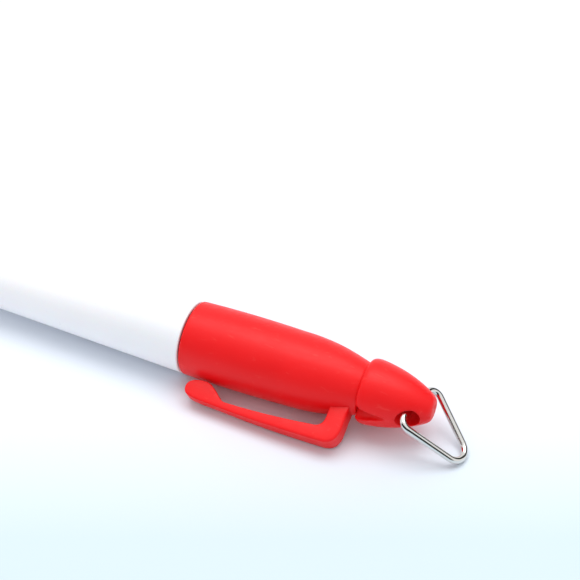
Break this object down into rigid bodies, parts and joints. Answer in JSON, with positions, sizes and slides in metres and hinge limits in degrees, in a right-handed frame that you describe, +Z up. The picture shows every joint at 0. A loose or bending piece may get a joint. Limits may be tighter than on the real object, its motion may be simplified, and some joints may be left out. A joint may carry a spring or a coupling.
{
  "type": "mini permanent marker",
  "caption": "Pocket-size permanent marker with a tapered barrel, a bullet nib, a pull-off cap with a clip, and a swivelling end collar that carries a triangular wire ring.",
  "frame": {"origin": "centre of the barrel's flat tail face, on the marker's axis", "axes": "+X runs along the marker's axis from the barrel's tail to the ring end, +Z is up with the capped marker lying on a table, and the clip is on the -Y side"},
  "size_m": [0.1048, 0.0173, 0.0134],
  "materials": {
    "barrel_white": "satin moulded polypropylene, white",
    "section_red": "glossy moulded polypropylene, red",
    "cap_red": "satin moulded polyethylene, red",
    "inner_cap_natural": "natural moulded polyethylene",
    "nib_felt": "pressed fibre soaked with ink",
    "ink_fibre": "ink-soaked fibre bundle",
    "film": "thin clear film",
    "ring_nickel": "bright nickel-plated steel wire"
  },
  "bodies": {
    "pen": {"barrel": "barrel_white", "reservoir_core": "ink_fibre", "reservoir_film": "film", "section": "section_red", "nib": "nib_felt"},
    "cap": {"cap_shell": "cap_red", "inner_cap": "inner_cap_natural"},
    "clip": {"pocket_clip": "cap_red"},
    "collar": {"ring_collar": "cap_red"},
    "ring": {"wire_ring": "ring_nickel"}
  },
  "joints": [
    {"name": "cap_pull", "type": "slide", "parent": "pen", "child": "cap", "axis": [1, 0, 0], "range_m": [0, 0.045]},
    {"name": "clip_flex", "type": "hinge", "parent": "cap", "child": "clip", "pos_m": [0.08365, -0.00476, -0.00232], "axis": [0, -0.4384, 0.8988], "range_deg": [0, 5], "stiffness_Nm_per_rad": 0.3},
    {"name": "collar_swivel", "type": "hinge", "parent": "cap", "child": "collar", "pos_m": [0.0895, 0, 0], "axis": [1, 0, 0], "continuous": true},
    {"name": "ring_swing", "type": "hinge", "parent": "collar", "child": "ring", "pos_m": [0.0949, 0, 0.00037], "axis": [0.1998, 0.9733, -0.1132], "range_deg": [-150, 75]}
  ]
}
